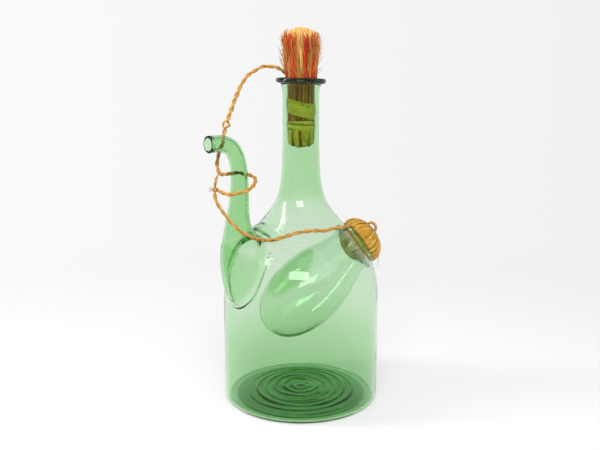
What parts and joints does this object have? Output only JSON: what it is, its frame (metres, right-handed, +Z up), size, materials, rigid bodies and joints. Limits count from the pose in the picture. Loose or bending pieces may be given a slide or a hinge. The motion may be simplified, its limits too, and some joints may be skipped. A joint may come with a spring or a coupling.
{
  "type": "glass decanter with ice pocket",
  "caption": "Blown glass decanter with a curved pouring spout, an ice pocket in the shoulder, straw stoppers and a twisted raffia cord.",
  "frame": {"origin": "centre of the flat face that the bottle stands on, on the body's axis", "axes": "+Z up along the body's axis. The viewer looks along +Y. The pouring spout leaves towards -X and -Y, the ice pocket's mouth faces +X, a little +Y, and up"},
  "size_m": [0.1613, 0.1488, 0.3505],
  "materials": {
    "green_glass": "clear pale green blown glass, smooth and glossy",
    "dark_glass": "thick green glass thread, dark where it is thick",
    "straw": "dry straw fibres, matt with a faint sheen",
    "red_straw": "straw dyed red, matt",
    "raffia": "flat raffia ribbon with fine lengthwise grain",
    "raffia_cord": "two-ply twisted raffia, dry and fibrous",
    "cork": "natural cork"
  },
  "bodies": {
    "bottle": {"bottle_body": "green_glass", "neck_lip": "dark_glass", "pouring_spout": "green_glass", "spout_elbow": "green_glass", "ice_pocket_neck": "green_glass", "ice_pocket_belly": "green_glass", "cord_upper": "raffia_cord", "cord_knot": "raffia_cord", "cord_frayed_end": "raffia_cord", "cord_lower": "raffia_cord"},
    "neck_stopper": {"neck_stopper_core": "straw", "neck_stopper_tuft": "straw", "tuft_straw_strands": "straw", "tuft_red_strands": "red_straw", "upper_raffia_band": "raffia", "lower_raffia_band": "raffia", "end_strap": "raffia", "neck_cord_hitch": "raffia_cord"},
    "pocket_stopper": {"pocket_stopper_cork": "cork", "pocket_stopper_raffia": "raffia", "pocket_stopper_ring": "raffia_cord", "pocket_stopper_ends": "raffia", "pocket_cord_hitch": "raffia_cord"}
  },
  "joints": [
    {"name": "neck_stopper_pull", "type": "slide", "parent": "bottle", "child": "neck_stopper", "axis": [0, 0, 1], "range_m": [0, 0.066]},
    {"name": "pocket_stopper_pull", "type": "slide", "parent": "bottle", "child": "pocket_stopper", "axis": [0.7969, 0.29, 0.5299], "range_m": [0, 0.03]}
  ]
}
